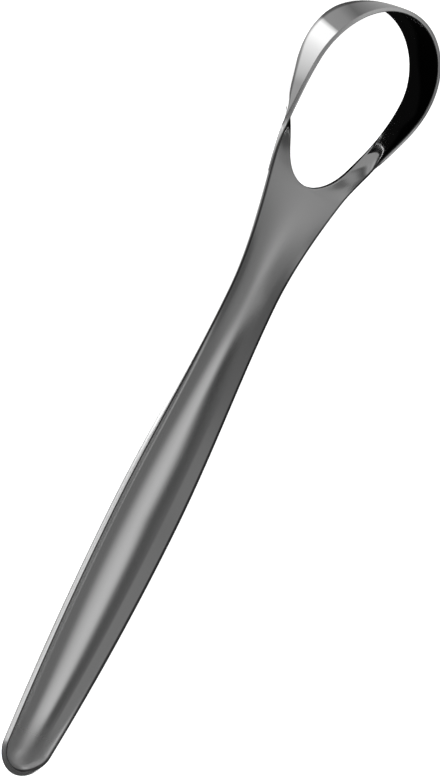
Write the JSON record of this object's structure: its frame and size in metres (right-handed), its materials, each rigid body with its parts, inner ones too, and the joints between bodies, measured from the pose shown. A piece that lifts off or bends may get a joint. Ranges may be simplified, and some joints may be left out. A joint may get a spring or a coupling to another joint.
{
  "type": "tongue scraper",
  "caption": "Stainless steel tongue scraper: a pressed trough handle with a narrow neck that forks into an upright, mirror-polished band closing a teardrop loop.",
  "frame": {"origin": "half-way along the tool, on its plane of symmetry, in the plane that it lies on", "axes": "+X from the handle's butt towards the tip of the loop, +Z towards the open side of the handle and the raised rim of the loop, +Y across the tool"},
  "size_m": [0.153, 0.0286, 0.009],
  "materials": {
    "handle": "satin stainless steel on the open side, with polished walls and cut edges",
    "scraping_loop": "mirror-polished stainless steel, turning satin where the arms join the handle"
  },
  "bodies": {
    "root": {"handle": "handle", "scraping_loop": "scraping_loop"}
  },
  "joints": []
}
